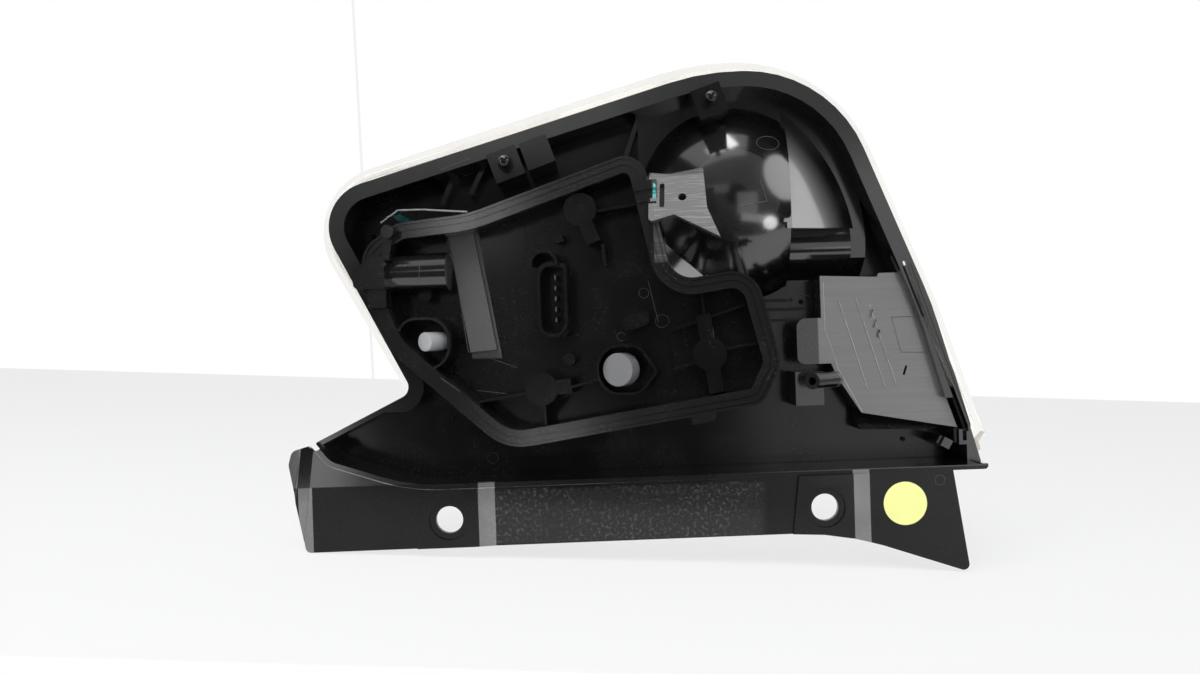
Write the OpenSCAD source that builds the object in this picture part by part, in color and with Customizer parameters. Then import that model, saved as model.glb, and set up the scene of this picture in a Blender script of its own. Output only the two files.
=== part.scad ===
// Tail light cluster, seen from the car body side.
// The lens faces +Y and the car body faces -Y, +X is to the right as seen from the body side, +Z is up.
// The origin is midway between the two fixing bores, on the rear face of the fixing strip.

/* [Fixing strip] */
// Distance between the two fixing bores
hole_spacing = 195; // [180:1:205]
// Diameter of each fixing bore
hole_d = 14; // [8:0.5:16]
// Diameter of the seat round each bore
seat_d = 21; // [19:0.5:24]
// Depth of the seat round each bore
seat_depth = 1.2; // [0.4:0.1:2]
// Thickness of the strip
strip_t = 3; // [2:0.1:4.5]
// How far the bore pads stand proud of the strip
pad_lift = 2; // [1:0.1:3]
// Width of each bore pad
pad_w = 30; // [28:0.5:34]
// Width of the ramp beside each pad
ramp_w = 9; // [5:0.5:12]
// Lean of the pad edges
pad_lean = 7.5; // [4:0.5:10]
// Width of the bar along the left end
end_bar_w = 7.5; // [5:0.5:10]
// Height of the bar along the left end
end_bar_lift = 1.6; // [0.8:0.1:3]

/* [Housing] */
// Wall thickness of the moulding
wall = 2.5; // [2:0.1:3.2]
// Depth at which the rim starts, behind the strip face
rim_y = 12; // [8:0.5:16]
// Width of the rim band
rim_w = 8; // [6:0.5:10]
// Thickness of the rim band
rim_t = 2.5; // [2:0.1:4]
// Depth of the back wall
floor_y = 45; // [42:0.5:50]
// Depth of the groove that takes the lens
groove_depth = 8; // [7:0.5:10]
// Width of the groove that takes the lens
groove_w = 3; // [2.6:0.1:4]
// Thickness of the groove's outer wall
groove_wall = 2; // [1.5:0.1:2.5]
// How much lower the groove's inner wall is
inner_drop = 2; // [1:0.5:3]
// Radius of the upper dome
dome_r = 62; // [60:0.5:63]
// Rearmost depth of the upper dome
dome_y = 9; // [8:0.5:12]
// Where the flat side cuts the upper dome
dome_cut_x = 88; // [87:0.5:91]
// Radius of the step round the dome
step_r = 100.5; // [99:0.5:102]
// Depth of the step round the dome
step_y = 34; // [33:0.5:36]
// Radius of the sloping skirt beside the dome
skirt_r = 105.5; // [104:0.5:106]
// How far the skirt spreads for each millimetre of depth
skirt_spread = 2.2; // [2:0.05:2.6]
// Radius of the round ledge below the skirt
ledge_r = 14; // [12.5:0.5:15]
// Depth of the side panel
panel_y = 20; // [17:0.5:23]
// Width of the rail beside the side panel
rail_w = 4.2; // [3.5:0.1:5]
// Depth of the rail's rear face
rail_y = 10; // [9:0.5:11.5]
// Height of the fine lines on the side panel
line_lift = 0.3; // [0.2:0.05:0.6]
// Outer diameter of the screw boss
boss_d = 8.6; // [7:0.2:10]
// Bore of the screw boss
boss_bore = 4.2; // [3:0.1:5]
// Length of the screw boss
boss_len = 26; // [20:0.5:30]

/* [Stud brackets] */
// Side of each square bracket face
bracket_w = 16; // [14:0.5:18]
// Depth of the bracket faces
bracket_y = 2; // [0:0.5:5]
// Ball diameter
ball_d = 6.4; // [5:0.1:8]
// Distance of the ball's centre from the bracket face
ball_reach = 10; // [8:0.5:12]
// Diameter of the stud's shank
shank_d = 4; // [3:0.1:4.5]
// Diameter of the stud's flange
stud_flange_d = 8; // [7:0.1:9]
// Thickness of the stud's flange
stud_flange_t = 1; // [0.6:0.1:2]
// Clearance round the stud's shank
shank_gap = 0.2; // [0.1:0.05:0.4]

/* [Outer lens] */
// How far the lens stands out past the housing
lens_overhang = 14; // [10:0.5:15]
// Thickness of the lens
lens_t = 3; // [2:0.1:3.5]
// Radius of the lens front
lens_r = 700; // [600:10:900]
// Foremost depth of the lens
lens_front = 95; // [92:0.5:100]
// Clearance round the lens leg in its groove
leg_gap = 0.3; // [0.2:0.05:0.6]
// Depth of the sealing bead in the groove
bead_depth = 2; // [1:0.1:3]

/* [Reflector and bezel] */
// Thickness of the reflector and bezel plates
plate_t = 2; // [1.5:0.1:2.5]
// Gap between the edge of the plates and the lens leg
plate_gap = 1.2; // [0.8:0.1:2]
// Thickness of the reflector bowls
bowl_t = 1.6; // [1.2:0.1:2]
// Depth of the bowls that hold a bulb
bowl_depth = 20; // [16:0.5:21]
// Depth of the three lower bowls
row_bowl_depth = 15; // [12:0.5:16]
// Depth of the large bowl
tail_bowl_depth = 28; // [24:0.5:30]
// Radius of the stop and turn bowls
lamp_bowl_r = 25; // [23:0.5:26]
// Radius of the three lower bowls
row_bowl_r = 19; // [17:0.5:20]
// Radius of the large bowl
tail_bowl_r = 41; // [38:0.5:42]
// Width of the ring round each window
ring_w = 2; // [1.5:0.1:3]
// Height of the ring round each window
ring_h = 2.5; // [1:0.1:4]
// Thickness of the red inner lenses
filter_t = 1.8; // [1.2:0.1:2.5]
// Rise of the red inner lenses
filter_rise = 6; // [4:0.5:8]
// Clearance between a red inner lens and its ring
filter_gap = 0.3; // [0.2:0.05:0.6]
// Thickness of the reflex panel
reflex_t = 3; // [2:0.1:4]
// Diameter of the screws that hold the reflector
screw_d = 3.6; // [3:0.1:4]
// Diameter of the heads of those screws
screw_head_d = 7; // [6:0.1:8]

/* [Bulb carrier] */
// Turn of the carrier about the vertical
carrier_turn = 8; // [6:0.5:9]
// Width of the sealing flange
flange_w = 7; // [6:0.1:8]
// Depth of the sealing flange
flange_t = 6; // [5:0.1:8]
// Thickness of the gasket
gasket_t = 2; // [1:0.1:3]
// Depth of the dish
dish_depth = 24; // [20:0.5:25]
// Wall thickness of the carrier
carrier_wall = 2.2; // [1.8:0.1:2.6]
// Thickness of the ribs
rib_t = 1.3; // [0.8:0.1:2]
// Depth at which the ribs and pads start
rib_y = 7; // [4:0.5:10]
// Radius of the round pads
pad_r = 8.6; // [8:0.1:10]
// Width of the pad necks
neck_w = 7.5; // [6:0.1:9]
// Lean of the flared latch plate
tab_lean = 26; // [15:1:30]
// Clearance between the dish and the opening
dish_gap = 0.8; // [0.6:0.1:1.5]
// Diameter of the left insert
left_insert_d = 10; // [8:0.2:10.4]
// Diameter of the middle insert
middle_insert_d = 17.4; // [15:0.2:18]
// Length of the left insert
left_insert_len = 13; // [10:0.5:14]
// Length of the middle insert
middle_insert_len = 9; // [7:0.5:10]
// Lean of the left insert
left_insert_lean = 30; // [20:1:35]
// Lean of the middle insert
middle_insert_lean = 20; // [10:1:25]
// Diameter of the seats that hold the inserts
seat_post_d = 6; // [4:0.2:7]
// Depth to which the seats enter the inserts
seat_reach = 3; // [2:0.5:5]
// Clearance between the inserts and their seats
insert_gap = 0.2; // [0.1:0.05:0.4]

/* [Bulbs and contacts] */
// Diameter of the bulb bases
base_d = 15; // [14:0.1:16]
// Length of the bulb bases
base_len = 12; // [10:0.5:14]
// Glass diameter of the stop and turn bulbs
glass_d = 24; // [20:0.5:25]
// Glass diameter of the smaller bulbs
small_glass_d = 18; // [16:0.5:19]
// Clearance round a bulb's base
base_gap = 0.3; // [0.2:0.05:0.5]
// Wall of the bulb sockets
socket_wall = 1.8; // [1.4:0.1:2.2]
// Height of the bulb sockets
socket_h = 7; // [5:0.5:9]
// Thickness of the contact strips
strip_metal_t = 0.6; // [0.4:0.1:1]
// Width of the contact strips
contact_w = 3; // [2:0.1:3.6]
// Spacing of the connector pins
pin_pitch = 5.5; // [5:0.1:6]
// Length of the connector pins
pin_len = 9; // [6:0.5:9]

/* [Sticker and spring] */
// Diameter of the round sticker
sticker_d = 22.5; // [18:0.5:25]
// Thickness of the sticker
sticker_t = 0.3; // [0.1:0.05:0.5]
// Distance from the right ramp to the sticker
sticker_gap = 6.75; // [2:0.25:9]
// Thickness of the leaf spring
spring_t = 0.8; // [0.5:0.1:1.2]
// Width of the leaf spring
spring_w = 6; // [4:0.5:8]

/* [Hidden] */
$fn = 64;
eps = 0.01;

// Outlines are lists of corners [x, z, radius], anticlockwise as seen from the body side.
strip_corners = [
    [-172.5, -15, 3], [105, -13.3, 140], [172.5, -36.5, 3], [165, 17, 0], [-118, 15.5, 90],
    [-160, 29.5, 15], [-169.5, 40.5, 1], [-178.5, 38, 4], [-180.5, 31, 6]];
body_lower = [[-169, 41, 1], [-160, 29.8, 14], [-118, 15.8, 89], [184, 17, 2]];
body_upper = [[160, 104, 200], [110, 229.5, 68], [44, 231, 130], [-168.5, 169.5, 24]];
body_notch = [[-116.5, 66.5, 6]];
body_corners = concat(body_lower, body_upper, body_notch);
body_end = len(body_lower);
lens_grown = grown(body_corners, lens_overhang);
lens_corners = concat(
    [[-173, 41.5, 1.5], [-161, 28.2, 15], [-118, 14.2, 90], [204, 15.4, 2]],
    [for (i = [0 : len(body_upper) - 1]) lens_grown[body_end + i]],
    [[-123.5, 60, 4]]);
carrier_corners = [
    [-97, -23, 40], [-36, -76.5, 28], [96, -56, 10], [106, -36, 16], [94, 13, 16], [53, 7, 13],
    [38.5, 75, 12], [-52, 46, 60], [-90, 43, 16], [-110, 30, 16], [-109, 8, 20]];
panel_corners = [
    [122.5, 47, 0], [173.5, 37.5, 0], [145, 121.5, 0], [134, 121.5, 0], [133, 119.5, 0],
    [102.5, 121, 0], [102.5, 90, 40], [108, 70, 60]];
panel_frame = [[139.9, 97.7, 0], [144.4, 78.6, 0], [159, 77.5, 0], [152.2, 98, 0]];
sandy_band = [[-70, 38, 0], [-59.5, -26, 0], [-43.5, -24.5, 0], [-54.5, 39, 0]];

carrier_at = [-31, -12, 112];
ball_left = [-62.5, 184];
ball_right = [45, 213.5];
bracket_lean = 19;
dome_at = [58, dome_y + dome_r, 165];
step_at = [30, 140];
step_left_x = 8;
step_low_z = 120;
skirt_at = [20, 130];
skirt_low_z = 147;
corner_skirt_at = [16, 119];
corner_skirt_r = 38;
ledge_at = [122, floor_y, 139];
deep_rim_x = -100;
deep_rim_z = 56;
web_t = 4;
front_y = floor_y + wall;
groove_top = front_y + groove_depth;
inner_top = groove_top - inner_drop;
plate_y = inner_top;
bezel_y = plate_y + plate_t;
bezel_top = bezel_y + plate_t;
leg_y = front_y + bead_depth;
lens_back = groove_top + 0.5;
groove_inner = groove_wall + groove_w;
plate_inset = groove_inner + plate_gap;
lens_centre = [5, lens_front - lens_r, 125];
carrier_floor = dish_depth + carrier_wall;
collar_y = flange_t + gasket_t;
neck_y = rib_y + 0.5;
low_rib_y = rib_y + 1;
collar_in = 3;
dish_in = collar_in + wall + dish_gap;
turn_at = [-92, 117];
stop_at = [-21, 131];
tail_at = [44, 161];
fog_at = [-49, 69];
reverse_inner_at = [-5, 76];
reverse_outer_at = [38, 83];
reflex_corners = [[104, 62, 3], [158, 52, 3], [140, 112, 3], [104, 112, 3]];
screw_places = [[-140, 152], [-100, 50], [96, 108], [150, 30]];
left_insert_at = [-78, 3, -19.3];
middle_insert_at = [22.3, 7, -37];
connector_at = [-9, 1];
left_well = [[-93, -34, 10], [-64.5, -34, 12], [-64.5, -6.5, 12], [-93, -6.5, 10]];
middle_well = [[11.5, -50, 12], [34, -50, 9], [43.5, -38.5, 3], [34, -24, 9], [11.5, -24, 12]];
gloss_recess = [[-78, -39.5, 1], [-59.5, -48, 6], [-42, -53, 3], [-32.5, -50, 1], [-33, -27.2, 1],
    [-46, -26.8, 20], [-60, -30.5, 30]];
band_y = 20;
plateau_y = 20.5;
plateau_corners = [[43.5, 18, 0], [54, -60, 0], [100, -60, 0], [100, 20, 0]];
lip_r = 6;
lip_y = 7;
tab_z = 49;
latch_barrel_y = 11;
latch_barrel_r = 10;
pin_start = -2 * pin_pitch;
spring_y = -0.5;
spring_path = [[-98.5, 43.5], [-89, 49.6], [-76, 49.4], [-52, 47.1]];
sticker_at = [hole_spacing / 2 + pad_w / 2 + ramp_w + sticker_d / 2 + sticker_gap, 0.5];

function unit(v) = v / norm(v);
function at(p) = [p[0], p[1]];
function cross_z(u, v) = u[0] * v[1] - u[1] * v[0];
// Outward normal of an edge of an anticlockwise outline
function out_of(a, b) = let (d = unit(at(b) - at(a))) [d[1], -d[0]];
// The outline moved outwards by d, or inwards where d is negative
function grown(list, d) = let (n = len(list)) [
    for (i = [0 : n - 1])
        let (a = list[(i + n - 1) % n], b = list[i], c = list[(i + 1) % n])
        let (m = out_of(a, b), k = out_of(b, c), outward = cross_z(m, k) > 0)
        let (p = at(b) + (m + k) * d / (1 + m * k))
        [p[0], p[1], max(0, outward ? b[2] + d : b[2] - d)]];
// The points of one rounded corner
function corner_points(a, b, c) =
    let (u = unit(at(a) - at(b)), v = unit(at(c) - at(b)), half = acos(u * v) / 2)
    let (r = b[2], turn = 180 - 2 * half, steps = max(2, ceil(turn / 8)))
    r < 0.2 || turn < 1 ? [at(b)] :
    let (centre = at(b) + unit(u + v) * r / sin(half), first = at(b) + u * r / tan(half))
    let (from = atan2(first[1] - centre[1], first[0] - centre[0]))
    let (way = cross_z(-u, v) > 0 ? 1 : -1)
    [for (i = [0 : steps]) let (t = from + way * turn * i / steps) centre + r * [cos(t), sin(t)]];
function rounded(list) = let (n = len(list)) [
    for (i = [0 : n - 1]) each corner_points(list[(i + n - 1) % n], list[i], list[(i + 1) % n])];
// Sideways direction of a path at one of its points
function side_of(path, i) =
    let (d = unit(at(path[min(i + 1, len(path) - 1)]) - at(path[max(i - 1, 0)]))) [-d[1], d[0]];
// A band of even thickness along a path
function band(path, t) = concat(
    [for (i = [0 : len(path) - 1]) at(path[i]) + side_of(path, i) * t / 2],
    [for (i = [len(path) - 1 : -1 : 0]) at(path[i]) - side_of(path, i) * t / 2]);
// Place along the carrier of a point given in the part's frame, at the depth of the bulbs
function along_carrier(p) = [
    (p[0] - carrier_at[0] - (carrier_floor + base_len) * sin(carrier_turn)) / cos(carrier_turn),
    p[1] - carrier_at[2]];

// Everything that faces along Y is drawn flat and stood up between two depths
module deep(y0, y1) {
    translate([0, y1, 0]) rotate([90, 0, 0]) linear_extrude(y1 - y0) children();
}
module outline(list, y0, y1) {
    deep(y0, y1) polygon(rounded(list));
}
// A wall that follows an outline, from one inset to another
module ring(list, inset_a, inset_b, y0, y1) {
    deep(y0, y1) difference() {
        polygon(rounded(grown(list, -inset_a)));
        polygon(rounded(grown(list, -inset_b)));
    }
}
module rod(p, d, y0, y1) {
    translate([p[0], y1, p[1]]) rotate([90, 0, 0]) cylinder(d = d, h = y1 - y0);
}
// A flat wall from one point to another, seen as a line from the body side
module wall_line(a, b, t, y0, y1) {
    span = at(b) - at(a);
    translate([a[0], 0, a[1]]) rotate([0, -atan2(span[1], span[0]), 0])
        translate([0, y0, -t / 2]) cube([norm(span), y1 - y0, t]);
}
module in_carrier() {
    translate(carrier_at) rotate([0, 0, -carrier_turn]) children();
}
module behind(y) {
    translate([-400, y - 400, -400]) cube([800, 400, 900]);
}

// Housing
module bracket_block(p, inset) {
    w = bracket_w - 2 * inset;
    translate([p[0], 0, p[1]]) rotate([0, -bracket_lean, 0])
        translate([-w / 2, bracket_y + inset, -w / 2]) cube([w, front_y - bracket_y - inset + eps, w]);
}
module dome(inset) {
    intersection() {
        translate(dome_at) sphere(r = dome_r - inset, $fn = 96);
        translate([-100, 0, 60]) cube([100 + dome_cut_x - inset, front_y + eps, 200]);
    }
}
module right_step(inset) {
    intersection() {
        rod(step_at, 2 * (step_r - inset), step_y + inset, front_y + eps, $fn = 96);
        outline(grown(body_corners, 1 - rim_w - inset), step_y - 1, front_y + 1);
        translate([step_left_x + inset, 0, step_low_z + 1.4 * inset]) rotate([90, 0, 90])
            linear_extrude(200) polygon([[20, floor_y - 20], [70, floor_y - 70], [70, 150], [20, 150]]);
    }
}
// A slope that falls away from a centre and ends on the step
module skirt(centre, r, rise, inset) {
    translate([centre[0], step_y + inset + eps, centre[1]]) rotate([90, 0, 0])
        cylinder(r1 = r, r2 = r - rise * skirt_spread, h = rise, $fn = 96);
}
module right_skirt(inset) {
    intersection() {
        skirt(skirt_at, skirt_r, 22, inset);
        translate([dome_cut_x - wall + inset, 0, skirt_low_z + inset]) cube([200, 100, 200]);
    }
}
module corner_skirt(inset) {
    intersection() {
        skirt(corner_skirt_at, corner_skirt_r, 14, inset);
        translate([corner_skirt_at[0] + inset, 0, corner_skirt_at[1] + inset]) cube([60, 100, 60]);
    }
}
module right_ledge(inset) {
    intersection() {
        translate(ledge_at) rotate([0, -90, 0])
            cylinder(r = ledge_r - inset, h = ledge_at[0] - dome_cut_x + wall);
        translate([0, 0, 100]) cube([ledge_at[0] - inset, front_y + eps, 100]);
    }
}
module side_box(inset) {
    outline(grown(panel_corners, -inset), panel_y + inset, front_y + eps);
}
module collar(inset) {
    intersection() {
        in_carrier() outline(grown(carrier_corners, -collar_in - inset), collar_y - (inset > 0 ? 1 : 0), 90);
        behind(front_y + (inset > 0 ? eps : 0));
    }
}
module housing_backs(inset) {
    dome(inset);
    right_step(inset);
    right_ledge(inset);
    right_skirt(inset);
    corner_skirt(inset);
    side_box(inset);
    collar(inset);
    bracket_block(ball_left, inset);
    bracket_block(ball_left + [17.5 * cos(bracket_lean), 17.5 * sin(bracket_lean)], inset + 0.5);
    bracket_block(ball_right, inset);
}
module fixing_strip() {
    difference() {
        union() {
            outline(strip_corners, 0, strip_t);
            intersection() {
                outline(strip_corners, -pad_lift, strip_t);
                for (side = [-1, 1]) translate([side * hole_spacing / 2, 0, 0]) rotate([0, pad_lean, 0])
                    translate([0, 0, -30]) linear_extrude(60) polygon([
                        [-pad_w / 2, eps], [-pad_w / 2, -pad_lift], [pad_w / 2, -pad_lift],
                        [pad_w / 2 + ramp_w, eps]]);
            }
            intersection() {
                outline(strip_corners, -end_bar_lift, strip_t);
                translate([-178, 0, 15]) rotate([0, pad_lean, 0])
                    translate([0, 0, -60]) linear_extrude(100) polygon([
                        [0, eps], [1.5, -end_bar_lift], [end_bar_w, -0.4], [end_bar_w, eps]]);
            }
        }
        for (side = [-1, 1]) {
            rod([side * hole_spacing / 2, 0], hole_d, -pad_lift - 1, strip_t + 1);
            rod([side * hole_spacing / 2, 0], seat_d, -pad_lift - 1, seat_depth - pad_lift);
        }
    }
}
module shelf() {
    intersection() {
        ring(body_corners, 0, wall, 0, floor_y);
        translate([-200, -1, 0]) cube([400, 60, 17.4 + wall]);
    }
    intersection() {
        ring(body_corners, 0, wall, 0, floor_y);
        translate([-200, -1, 0]) cube([100, 60, 38]);
    }
}
module deep_rim() {
    translate([deep_rim_x, 0, deep_rim_z]) cube([400, 60, 300]);
}
module rim() {
    difference() {
        ring(body_corners, 0, wall, rim_y, front_y);
        deep_rim();
    }
    intersection() {
        ring(body_corners, rim_w - wall, rim_w, rim_y, front_y);
        deep_rim();
    }
    intersection() {
        ring(body_corners, 0, rim_w, rim_y, front_y);
        union() {
            translate([deep_rim_x - web_t / 2, 0, 150]) cube([web_t, 60, 100]);
            translate([150, 0, deep_rim_z - web_t / 2]) cube([100, 60, web_t]);
        }
    }
    difference() {
        ring(body_corners, 0, rim_w, rim_y, rim_y + rim_t);
        translate([-200, 0, -20]) cube([376, 40, 76]);
    }
}
module groove() {
    ring(body_corners, 0, groove_wall, front_y - eps, groove_top);
    ring(body_corners, groove_inner, groove_inner + groove_wall, front_y - eps, inner_top);
}
module screw_boss(bore) {
    translate([93.5, 1, 65.5]) rotate([-90, 0, -38])
        cylinder(d = bore ? boss_bore : boss_d, h = bore ? boss_len * 0.8 : boss_len);
}
module housing_ribs() {
    wall_line([8, 209], [1, 190], wall, step_y - 4, front_y);
    wall_line([8, 209], [11, 224], wall, step_y - 4, front_y);
    wall_line([147.5, 125], [178, 38.5], rail_w, rail_y, panel_y + 3);
    wall_line([111.8, 107.8], [126.3, 59], 0.6, panel_y - line_lift, panel_y + eps);
    wall_line([120.9, 109.1], [135.4, 60.3], 0.6, panel_y - line_lift, panel_y + eps);
    wall_line([131.7, 93], [141.3, 61.7], 0.6, panel_y - line_lift, panel_y + eps);
    sill();
    translate([162, rim_y, 29]) rotate([0, 30, 0]) cube([5, floor_y + eps - rim_y, 5]);
    translate([172, rim_y, 29]) cube([2, floor_y + eps - rim_y, 8]);
    translate([172, rim_y, 29]) cube([6, floor_y + eps - rim_y, 2]);
    wall_line([-84, 172], [-72, 196], wall, 30, front_y);
    wall_line([-100, 167], [-92, 186], wall, 32, front_y);
    wall_line([-138, 118], [-128, 122], wall, 30, front_y);
    translate([87, 16, 52]) cube([15, 30, 18]);
    outline([[89, 74, 4], [96, 74, 0], [109, 74, 0], [102, 98.5, 0], [89, 98.5, 5]], 19, 21.5);
}
// A slope under the side panel that runs out to nothing on the right
module sill() {
    intersection() {
        outline([[121, 48, 0], [122.4, 37.7, 0], [173.5, 36.6, 0], [173.5, 38, 0]], 15, front_y);
        translate([100, 24, 37]) rotate([-42, 0, 0]) translate([0, 0, -40]) cube([100, 60, 80]);
    }
}
module housing() {
    color([0.06, 0.06, 0.065]) difference() {
        union() {
            fixing_strip();
            shelf();
            rim();
            groove();
            intersection() {
                outline(body_corners, 0, front_y);
                union() {
                    translate([-200, floor_y, -10]) cube([400, wall, 260]);
                    housing_backs(0);
                    housing_ribs();
                }
            }
            intersection() {
                outline(body_corners, -60, front_y);
                collar(0);
            }
            screw_boss(false);
        }
        housing_backs(wall);
        screw_boss(true);
        for (p = [ball_left, ball_right])
            rod(p, shank_d + 2 * shank_gap, bracket_y - 1, bracket_y + wall + 1);
        for (p = screw_places) rod(p, screw_d - 1, floor_y - 5, groove_top);
        panel_slots();
    }
}
module panel_slots() {
    for (t = [0 : 2]) translate([129 + 1.8 * t, panel_y - 1, 100 - 5.5 * t]) rotate([0, 18, 0])
        cube([1.6, wall + 2, 4.4], center = true);
    translate([146.5, panel_y, 69]) rotate([0, 18, 0]) cube([1.2, 2 * wall + 2, 5], center = true);
    wall_line([145.9, 127], [176.5, 36], 1.6, rail_y - 1, floor_y - 4);
    wall_line([148.2, 127], [178.7, 36], 0.5, rail_y - 1, rail_y + 0.6);
    ring(panel_frame, 0, 0.5, panel_y - 1, panel_y + line_lift);
}

// Outer lens with its broken lower right corner
module lens_break() {
    outline([[191, -5, 0], [215, -5, 0], [215, 31, 0], [200, 30, 0], [195.5, 26, 0], [197, 22, 0],
        [192, 17, 0]], 40, 110);
}
module lens_form(inset) {
    intersection() {
        outline(grown(lens_corners, -inset), inset > 0 ? lens_back - 1 : lens_back, lens_front + 1);
        translate(lens_centre) sphere(r = lens_r - inset, $fn = 200);
    }
}
module outer_lens() {
    color([0.86, 0.87, 0.88, 0.55]) difference() {
        union() {
            difference() {
                lens_form(0);
                lens_form(lens_t);
            }
            difference() {
                outline(lens_corners, lens_back, lens_back + lens_t);
                outline(grown(body_corners, -groove_inner + leg_gap), lens_back - 1, lens_back + lens_t + 1);
            }
            ring(body_corners, groove_wall + leg_gap, groove_inner - leg_gap, leg_y, lens_back + lens_t);
        }
        lens_break();
    }
}
module lens_sealant() {
    color([0.2, 0.2, 0.2])
        ring(body_corners, groove_wall + leg_gap, groove_inner - leg_gap, front_y, leg_y);
}

// Reflector and bezel
module bowl(p, r, depth, inset) {
    sphere_r = (r * r + depth * depth) / (2 * depth);
    intersection() {
        translate([p[0], plate_y - depth + sphere_r, p[1]]) sphere(r = sphere_r + bowl_t - inset, $fn = 96);
        translate([p[0] - 60, plate_y - 60, p[1] - 60])
            cube([120, 60 + (inset > 0 ? plate_t + 1 : eps), 120]);
    }
}
module all_bowls(inset) {
    bowl(tail_at, tail_bowl_r, tail_bowl_depth, inset);
    bowl(turn_at, lamp_bowl_r, bowl_depth, inset);
    bowl(stop_at, lamp_bowl_r, bowl_depth, inset);
    bowl(fog_at, row_bowl_r, row_bowl_depth, inset);
    bowl(reverse_inner_at, row_bowl_r, row_bowl_depth, inset);
    bowl(reverse_outer_at, row_bowl_r, row_bowl_depth, inset);
}
module screw_holes(y0, y1) {
    for (p = screw_places) rod(p, screw_d + 0.4, y0, y1);
}
module reflector() {
    color([0.85, 0.86, 0.88]) difference() {
        union() {
            outline(grown(body_corners, -plate_inset), plate_y, plate_y + plate_t);
            all_bowls(0);
        }
        all_bowls(bowl_t);
        for (p = [turn_at, stop_at]) rod(p, glass_d + 4, 20, plate_y);
        for (p = [fog_at, reverse_inner_at, reverse_outer_at]) rod(p, small_glass_d + 4, 20, plate_y);
        screw_holes(40, 70);
    }
}
module window_ring(p, r) {
    deep(bezel_top - eps, bezel_top + ring_h) translate([p[0], p[1]]) difference() {
        circle(r = r + ring_w);
        circle(r = r);
    }
}
module all_windows() {
    window_ring(tail_at, tail_bowl_r + 1);
    for (p = [turn_at, stop_at]) window_ring(p, lamp_bowl_r + 1);
    for (p = [fog_at, reverse_inner_at, reverse_outer_at]) window_ring(p, row_bowl_r + 1);
}
module bezel() {
    color([0.45, 0.46, 0.48]) difference() {
        union() {
            outline(grown(body_corners, -plate_inset), bezel_y, bezel_top);
            all_windows();
        }
        rod(tail_at, 2 * tail_bowl_r - 4, bezel_y - 1, bezel_top + 1);
        for (p = [turn_at, stop_at]) rod(p, 2 * lamp_bowl_r - 4, bezel_y - 1, bezel_top + 1);
        for (p = [fog_at, reverse_inner_at, reverse_outer_at])
            rod(p, 2 * row_bowl_r - 4, bezel_y - 1, bezel_top + 1);
        screw_holes(50, 70);
    }
}
module filter(p, r) {
    cap_r = (r * r + filter_rise * filter_rise) / (2 * filter_rise);
    intersection() {
        translate([p[0], bezel_top + filter_rise - cap_r, p[1]]) difference() {
            sphere(r = cap_r, $fn = 360);
            sphere(r = cap_r - filter_t, $fn = 360);
        }
        translate([p[0] - 60, bezel_top, p[1] - 60]) cube([120, 60, 120]);
    }
}
module tail_filter() {
    color([0.7, 0.02, 0.02, 0.7]) filter(tail_at, tail_bowl_r + 1 - filter_gap);
}
module stop_filter() {
    color([0.7, 0.02, 0.02, 0.7]) filter(stop_at, lamp_bowl_r + 1 - filter_gap);
}
module fog_filter() {
    color([0.7, 0.02, 0.02, 0.7]) filter(fog_at, row_bowl_r + 1 - filter_gap);
}
module reflex_reflector() {
    color([0.75, 0.03, 0.03]) outline(reflex_corners, bezel_top, bezel_top + reflex_t);
}
module reflector_screws() {
    color([0.7, 0.7, 0.68]) for (p = screw_places) {
        rod(p, screw_head_d, bezel_top, bezel_top + 2);
        rod(p, screw_d - 1.4, floor_y - 2, bezel_top + eps);
    }
}

// Bulb carrier, drawn in its own frame: the face of its sealing flange is at depth 0
module key_pad(p, to) {
    rod(p, 2 * pad_r, rib_y, dish_depth + eps);
    wall_line(p, to, neck_w, neck_y, dish_depth + eps);
}
module carrier_ribs() {
    wall_line([13, 45], [44, 49], rib_t, low_rib_y, dish_depth + eps);
    wall_line([-66, -54], [-25, -47.5], rib_t, low_rib_y, dish_depth + eps);
    wall_line([-16.5, -54], [-16, -70], rib_t, low_rib_y, dish_depth + eps);
    wall_line([-3, -45.5], [13, -41], rib_t, low_rib_y, dish_depth + eps);
    wall_line([49, -18], [88, -6], rib_t, low_rib_y, dish_depth + eps);
    wall_line([51, -38], [63, -34], rib_t, low_rib_y, dish_depth + eps);
    wall_line([78, -28], [96, -25], rib_t, low_rib_y, dish_depth + eps);
    wall_line([66.5, 2], [68, -12], rib_t, low_rib_y, dish_depth + eps);
    wall_line([16, 28.5], [17, 17], 1.6, low_rib_y + 5, dish_depth + eps);
    wall_line([-9, 31.5], [-5, 32.5], 3.4, low_rib_y + 6, dish_depth + eps);
}
// Two half rings at the ends of the plug's socket
module socket_lip(centre, from) {
    translate([centre[0], dish_depth + eps, centre[1]]) rotate([90, 0, 0]) rotate([0, 0, from])
        rotate_extrude(angle = 200) translate([lip_r, 0]) square([rib_t, dish_depth - lip_y]);
}
module latch_barrel() {
    half = latch_barrel_r - 0.4;
    translate([-102.5, latch_barrel_y, 17.3]) rotate([0, 90, 0]) cylinder(r = latch_barrel_r, h = 37);
    translate([-102.5, latch_barrel_y, 17.3 - half]) cube([37, dish_depth - latch_barrel_y + eps, 2 * half]);
}
module well(corners, y0) {
    difference() {
        outline(corners, y0, dish_depth + eps);
        outline(grown(corners, -rib_t), y0 - 1, dish_depth);
    }
}
module lean_at(p, lean) {
    translate(p) rotate([0, 0, -lean]) children();
}
module insert_seat(p, lean, len) {
    lean_at(p, lean) rod([0, 0], seat_post_d, len - seat_reach, 60);
}
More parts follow.
